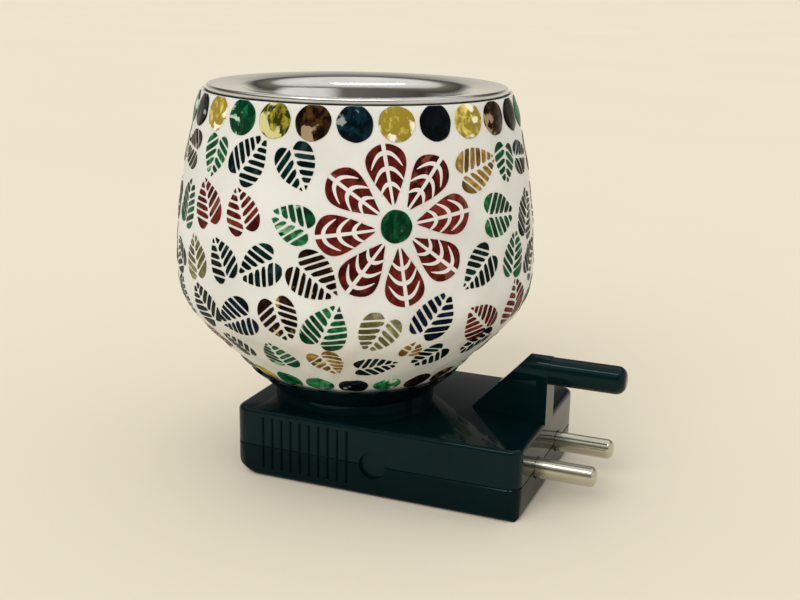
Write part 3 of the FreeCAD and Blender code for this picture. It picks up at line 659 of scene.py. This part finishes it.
# Leaves of one half: degrees round the globe, share of its height, share of the length, tilt, colour.
leaf_places_share = [
    (-135.5, 0.835, 0.88, 174, "brown"), (-117.0, 0.828, 0.80, -97, "green"),
    (-100.8, 0.845, 1.00, 55, "black"), (-84.3, 0.824, 0.86, -67, "black"),
    (-25.2, 0.818, 1.00, 16, "gold"), (-11.2, 0.812, 0.80, -100, "green"),
    (3.4, 0.82, 0.83, -6, "black"), (18.5, 0.82, 0.83, 75, "brown"),
    (31.5, 0.83, 0.83, -70, "olive"),
    (-131.0, 0.675, 0.96, 77, "green"), (-118.0, 0.694, 0.92, 112, "red"),
    (-102.4, 0.690, 0.86, 112, "red"), (-85.6, 0.672, 0.84, 160, "green"),
    (-16.8, 0.668, 0.95, -4, "green"), (1.6, 0.65, 1.02, 70, "black"),
    (17.5, 0.66, 0.88, 110, "gold"), (33.0, 0.65, 0.88, -100, "black"),
    (-137.0, 0.50, 0.75, 133, "brown"), (-123.0, 0.52, 0.88, 106, "olive"),
    (-109.6, 0.536, 0.86, 119, "black"), (-95.8, 0.527, 0.93, -152, "black"),
    (-77.6, 0.510, 1.00, -37, "brown"), (-27.6, 0.515, 0.94, -140, "black"),
    (-10.0, 0.54, 0.92, 78, "green"), (4.9, 0.50, 0.88, 53, "black"),
    (19.5, 0.51, 0.83, 120, "red"), (31.5, 0.50, 0.83, -60, "black"),
    (-119.5, 0.375, 0.94, 122, "black"), (-104.9, 0.350, 0.98, -157, "navy"),
    (-88.4, 0.372, 0.94, -74, "brown"), (-74.4, 0.364, 1.04, 66, "green"),
    (-59.7, 0.336, 0.92, -114, "olive"), (-42.3, 0.398, 1.02, 58, "navy"),
    (-25.2, 0.352, 0.98, 140, "red"), (-7.2, 0.38, 0.98, 100, "red"),
    (10.0, 0.36, 0.88, 60, "green"), (26.0, 0.36, 0.88, -120, "black"),
    (43.5, 0.37, 0.88, 75, "navy"),
    (-112.4, 0.245, 0.75, 111, "black"), (-94.6, 0.236, 0.84, 98, "green"),
    (-75.8, 0.222, 0.84, -70, "gold"), (-58.0, 0.212, 0.84, 12, "black"),
    (-47.8, 0.282, 0.50, 79, "gold"), (-40.0, 0.236, 0.80, -134, "black"),
    (-20.2, 0.255, 0.84, -142, "black"), (1.0, 0.22, 0.78, 70, "brown"),
    (19.0, 0.22, 0.78, -80, "green"), (36.0, 0.22, 0.78, 20, "black"),
    (52.0, 0.24, 0.75, 120, "red"),
]


def make_leaves():
    for colour in glass_colours:
        mosaic = Mosaic(colour + "_leaf_chips", colour, colour + "_leaves", "chip_" + colour)
        for i, (degrees, height_share, length_share, tilt, name) in enumerate(leaf_places_share):
            if name != colour:
                continue
            for turn in (0, 180):
                dice = random.Random(i * 2 + turn)
                height = foot_height + height_share * globe_span
                for strip in leaf_strips(leaf_length * length_share, dice):
                    mosaic.add(strip, math.radians(degrees + turn), height, math.radians(tilt),
                               dice.random())
        mosaic.finish()


# Round chips: colours of the top row and the foot row, in order round the globe.
top_dot_colours = ["navy", "yellow", "navy", "yellow", "brown", "brown", "green", "navy", "gold",
                   "yellow", "brown", "green", "navy", "yellow", "brown", "gold", "navy", "yellow",
                   "green", "brown", "gold", "green", "navy", "yellow", "green", "gold", "brown"]
base_dot_colours = ["navy", "green", "brown", "brown", "green", "gold", "green", "navy", "gold",
                    "green", "green"]


def round_chip(diameter, dice):
    """A hand-cut disc: nearly round, with a few shallow flats and nicks."""
    phases = [dice.uniform(0, 2 * math.pi) for _ in dot_waves]
    points = []
    for i in range(dot_points):
        angle = 2 * math.pi * i / dot_points
        wave = sum(size * math.sin(count * angle + phase)
                   for (size, count), phase in zip(dot_waves, phases))
        radius = diameter / 2 * (1 + wave)
        points.append((radius * math.cos(angle), radius * math.sin(angle)))
    return points


def make_dots():
    for colour in round_colours:
        mosaic = Mosaic(colour + "_round_chips", colour + "_round", colour + "_dots", "chip_" + colour)
        for count, diameter, height, names in (
                (top_dot_count, top_dot_diameter, top_dot_height, top_dot_colours),
                (base_dot_count, base_dot_diameter, base_dot_height, base_dot_colours)):
            for i in range(count):
                if names[i % len(names)] == colour:
                    dice = random.Random(dot_seed + count * 100 + i)
                    mosaic.add(round_chip(diameter, dice), dot_start + 2 * math.pi * i / count, height,
                               dice.uniform(0, math.pi), dice.random(), dome=dot_dome, grid=dot_grid)
        mosaic.finish()


# A petal from its inner end: shares of its length and of half its width.
petal_shares = [(0.0, 0.10), (0.12, 0.30), (0.34, 0.66), (0.58, 0.95), (0.76, 1.0), (0.90, 0.78),
                (1.0, 0.28)]


def petal_outline():
    upper = [(x * petal_length, y * petal_width / 2) for x, y in petal_shares]
    lower = [(x, -y) for x, y in reversed(upper)]
    return smooth_closed(upper + lower)[::-1]


def ribbon(points, widths):
    """A flat tapering band along a line of points."""
    left = []
    right = []
    for i, (x, y) in enumerate(points):
        before = points[max(i - 1, 0)]
        after = points[min(i + 1, len(points) - 1)]
        run = (after[0] - before[0], after[1] - before[1])
        length = math.hypot(*run)
        normal = (-run[1] / length, run[0] / length)
        left.append((x + normal[0] * widths[i] / 2, y + normal[1] * widths[i] / 2))
        right.append((x - normal[0] * widths[i] / 2, y - normal[1] * widths[i] / 2))
    return right + left[::-1]


# Side veins of a petal: share of its length where they start, share of its half width they reach.
side_vein_shares = [(0.34, 0.52), (0.60, 0.74), (0.86, 0.78)]


def petal_veins():
    """The pale midrib and three pairs of tapering arcs of one petal."""
    midline = [(-midvein_inset, 0.0), (petal_length / 2, 0.0), (petal_length + midvein_overrun, 0.0)]
    veins = [ribbon(midline, midvein_widths)]
    for share, reach_share in side_vein_shares:
        for side in (-1, 1):
            reach = petal_width / 2 * reach_share
            points = []
            widths = []
            for k in range(side_vein_steps + 1):
                t = k / side_vein_steps
                points.append((share * petal_length - 1.05 * reach * t ** 1.8 + 0.10 * reach * t,
                               side * reach * (0.04 + 0.96 * t ** 0.85)))
                widths.append(side_vein_root * (1 - t) ** 0.6 + side_vein_tip)
            band = ribbon(points, widths)
            veins.append(band if side > 0 else band[::-1])
    return veins


def make_flowers():
    petals = Mosaic("red_petal_chips", "red", "red_petals", "chip_red")
    veins = Mosaic("petal_veins", "grout", "globe_grout", "grout_white")
    centres = Mosaic("green_centre_chips", "green", "green_centres", "chip_green")
    for turn in (0, math.pi):
        centre = flower_angle + turn
        dice = random.Random(flower_seed)
        centres.add(round_chip(flower_centre_diameter, dice), centre, flower_height, 0.0,
                    flower_centre_tint, dome=dot_dome, grid=dot_grid)
        for i in range(petal_count):
            spoke = flower_turn + 2 * math.pi * i / petal_count
            outline_points = [(x + petal_start, y) for x, y in petal_outline()]
            petals.add(outline_points, centre, flower_height, spoke, dice.random())
            for vein in petal_veins():
                veins.add([(x + petal_start, y) for x, y in vein], centre, flower_height, spoke, 0.0,
                          rise=chip_rise + vein_lift, grid=vein_grid)
    petals.finish()
    centres.finish()
    veins.finish()


# Grout skin

def turned(name, line, sides, look):
    """A closed ring of (radius, height) points turned about Z."""
    mesh = bmesh.new()
    rings = []
    for radius, height in line:
        rings.append([mesh.verts.new((radius * math.cos(2 * math.pi * k / sides),
                                      radius * math.sin(2 * math.pi * k / sides), height))
                      for k in range(sides)])
    for a, b in zip(rings, rings[1:] + rings[:1]):
        for k in range(sides):
            face = mesh.faces.new((a[k], a[(k + 1) % sides], b[(k + 1) % sides], b[k]))
            face.smooth = True
    bmesh.ops.recalc_face_normals(mesh, faces=mesh.faces[:])
    data = bpy.data.meshes.new(name)
    mesh.to_mesh(data)
    mesh.free()
    piece = bpy.data.objects.new(name, data)
    bpy.context.scene.collection.objects.link(piece)
    data.materials.append(looks[look])
    return piece


def make_grout():
    inner = [(foot_radius - grout_thickness, foot_height)]
    for distance in distances[grout_inner_step // 2:-grout_inner_step // 2:grout_inner_step]:
        radius, height, out, up = along(distance)
        inner.append((radius - grout_thickness * out, height - grout_thickness * up))
    inner.append((rim_radius - grout_thickness, rim_height))
    skin = turned("grout_skin", outline + inner[::-1], globe_sides, "grout")
    for i, distance in enumerate(distances):
        for k in range(globe_sides):
            place = on_globe(2 * math.pi * k / globe_sides, distance, 0.0)
            skin.data.vertices[i * globe_sides + k].co = place
    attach(skin, "root")
    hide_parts("globe_grout")


# Dish, pressed from sheet, with every bend rounded

def rounded(corners):
    """An open line of (radius, height, bend radius) corners with each bend as an arc."""
    line = []
    for i, (x, y, bend) in enumerate(corners):
        if bend == 0:
            line.append((x, y))
            continue
        here = Vector((x, y))
        back = (Vector(corners[i - 1][:2]) - here).normalized()
        ahead = (Vector(corners[i + 1][:2]) - here).normalized()
        half = math.acos(max(-1.0, min(1.0, back.dot(ahead)))) / 2
        reach = bend / math.tan(half)
        centre = here + (back + ahead).normalized() * (bend / math.sin(half))
        first = here + back * reach - centre
        last = here + ahead * reach - centre
        turn = math.atan2(first.x * last.y - first.y * last.x, first.dot(last))
        for k in range(bend_steps + 1):
            angle = turn * k / bend_steps
            line.append((centre.x + first.x * math.cos(angle) - first.y * math.sin(angle),
                         centre.y + first.x * math.sin(angle) + first.y * math.cos(angle)))
    return line


def make_dish():
    low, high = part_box("wax_dish")
    floor = low.z
    base = floor + dish_depth
    edge = high.z
    crest = edge - dish_fall
    rim = high.x
    skin = dish_sheet
    under = rounded([
        (dish_hub, floor, 0), (dish_floor_radius, floor, dish_bend + skin),
        (dish_well_radius, crest - skin, dish_shoulder - skin),
        (rim - skin, edge - skin, dish_corner), (rim - skin, base, 0)])
    over = rounded([
        (rim, base, 0), (rim, edge, dish_corner + skin),
        (dish_well_radius - skin, crest, dish_shoulder),
        (dish_floor_radius - skin, floor + skin, dish_bend), (dish_hub, floor + skin, 0)])
    piece = turned("dish_pressing", under + over, globe_sides, "steel")
    mesh = bmesh.new()
    mesh.from_mesh(piece.data)
    mesh.faces.ensure_lookup_table()
    inner = [f for f in mesh.faces if all(v.co.xy.length < dish_hub * 1.01 for v in f.verts)]
    bmesh.ops.delete(mesh, geom=inner, context="FACES")
    for height in (floor, floor + skin):
        ring = [e for e in mesh.edges if e.is_boundary and abs(e.verts[0].co.z - height) < skin / 4]
        bmesh.ops.contextual_create(mesh, geom=ring)
    bmesh.ops.recalc_face_normals(mesh, faces=mesh.faces[:])
    mesh.to_mesh(piece.data)
    mesh.free()
    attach(piece, "dish")
    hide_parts("wax_dish")


# Camera, floor and light

def make_camera():
    data = bpy.data.cameras.new("camera")
    data.lens = camera_lens
    data.sensor_width = 36.0
    data.clip_start = 0.01
    data.clip_end = 50.0
    camera = bpy.data.objects.new("camera", data)
    bpy.context.scene.collection.objects.link(camera)
    level = Vector((-math.sin(camera_yaw), math.cos(camera_yaw), 0.0))
    right = Vector((math.cos(camera_yaw), math.sin(camera_yaw), 0.0))
    up = Vector((0.0, 0.0, 1.0))
    ahead = math.cos(camera_pitch) * level - math.sin(camera_pitch) * up
    over = math.cos(camera_pitch) * up + math.sin(camera_pitch) * level
    side = math.cos(camera_roll) * right + math.sin(camera_roll) * over
    top = math.cos(camera_roll) * over - math.sin(camera_roll) * right
    turn = Matrix((side, top, -ahead)).transposed()
    camera.matrix_world = Matrix.Translation(camera_place) @ turn.to_4x4()
    bpy.context.scene.camera = camera


def make_floor():
    mesh = bpy.data.meshes.new("floor")
    reach = floor_reach
    mesh.from_pydata([(-reach, -reach, 0), (reach, -reach, 0), (reach, reach, 0), (-reach, reach, 0)],
                     [], [(0, 1, 2, 3)])
    floor = bpy.data.objects.new("floor", mesh)
    bpy.context.scene.collection.objects.link(floor)
    material, nodes, links = new_material("floor_paper")
    shader = shader_of(nodes)
    tone = noise_node(nodes, links, scale=3.0)
    ramp = ramp_node(nodes, links, tone.outputs["Fac"], floor_tones)
    links.new(ramp.outputs["Color"], shader.inputs["Base Color"])
    shader.inputs["Roughness"].default_value = 1.0
    shader.inputs["Specular IOR Level"].default_value = 0.0
    mesh.materials.append(material)


def step(nodes, links, source, low, high):
    """A value that rises softly from 0 to 1 between two limits."""
    edge = nodes.new("ShaderNodeMapRange")
    edge.interpolation_type = "SMOOTHSTEP"
    edge.inputs["From Min"].default_value = low
    edge.inputs["From Max"].default_value = high
    links.new(source, edge.inputs["Value"])
    return edge.outputs["Result"]


def times(nodes, links, a, b):
    """The product of two values, of which the second may be a plain number."""
    node = nodes.new("ShaderNodeMath")
    node.operation = "MULTIPLY"
    links.new(a, node.inputs[0])
    if isinstance(b, float):
        node.inputs[1].default_value = b
    else:
        links.new(b, node.inputs[1])
    return node.outputs["Value"]


def make_world():
    world = bpy.data.worlds.new("studio")
    world.use_nodes = True
    nodes = world.node_tree.nodes
    links = world.node_tree.links
    nodes.clear()
    out = nodes.new("ShaderNodeOutputWorld")
    seen = nodes.new("ShaderNodeBackground")
    seen.inputs["Color"].default_value = (*backdrop_colour, 1.0)
    light = nodes.new("ShaderNodeBackground")
    light.inputs["Color"].default_value = (*fill_colour, 1.0)
    light.inputs["Strength"].default_value = fill_strength
    mirror = nodes.new("ShaderNodeBackground")
    path = nodes.new("ShaderNodeLightPath")
    place = nodes.new("ShaderNodeTexCoord")
    ways = nodes.new("ShaderNodeSeparateXYZ")
    links.new(place.outputs["Generated"], ways.inputs["Vector"])
    rises = ways.outputs["Z"]
    sky = ramp_node(nodes, links, rises, mirrored_sky)
    total = sky.outputs["Color"]
    for low, high, soft, axis, start, full, glow in mirrored_bands:
        band = times(nodes, links, step(nodes, links, rises, low - soft, low),
                     step(nodes, links, rises, high + soft, high))
        patch = times(nodes, links, band, step(nodes, links, ways.outputs[axis], start, full))
        add = nodes.new("ShaderNodeVectorMath")
        links.new(total, add.inputs[0])
        links.new(times(nodes, links, patch, glow), add.inputs[1])
        total = add.outputs["Vector"]
    links.new(total, mirror.inputs["Color"])
    both = nodes.new("ShaderNodeMath")
    both.operation = "MAXIMUM"
    links.new(path.outputs["Is Camera Ray"], both.inputs[0])
    links.new(path.outputs["Is Transmission Ray"], both.inputs[1])
    first = nodes.new("ShaderNodeMixShader")
    links.new(path.outputs["Is Glossy Ray"], first.inputs["Fac"])
    links.new(light.outputs["Background"], first.inputs[1])
    links.new(mirror.outputs["Background"], first.inputs[2])
    last = nodes.new("ShaderNodeMixShader")
    links.new(both.outputs["Value"], last.inputs["Fac"])
    links.new(first.outputs["Shader"], last.inputs[1])
    links.new(seen.outputs["Background"], last.inputs[2])
    links.new(last.outputs["Shader"], out.inputs["Surface"])
    bpy.context.scene.world = world


def make_light():
    data = bpy.data.lights.new("soft_sun", "SUN")
    data.energy = sun_strength
    data.angle = sun_width
    sun = bpy.data.objects.new("soft_sun", data)
    bpy.context.scene.collection.objects.link(sun)
    # Polished faces mirror the sky's bands, not the lamp's disc.
    sun.visible_glossy = False
    sun.rotation_mode = "QUATERNION"
    sun.rotation_quaternion = Vector(sun_way).to_track_quat("-Z", "Y")


make_leaves()
make_dots()
make_flowers()
make_grout()
make_dish()
make_camera()
make_floor()
make_world()
make_light()
bpy.context.scene.view_settings.view_transform = "Standard"
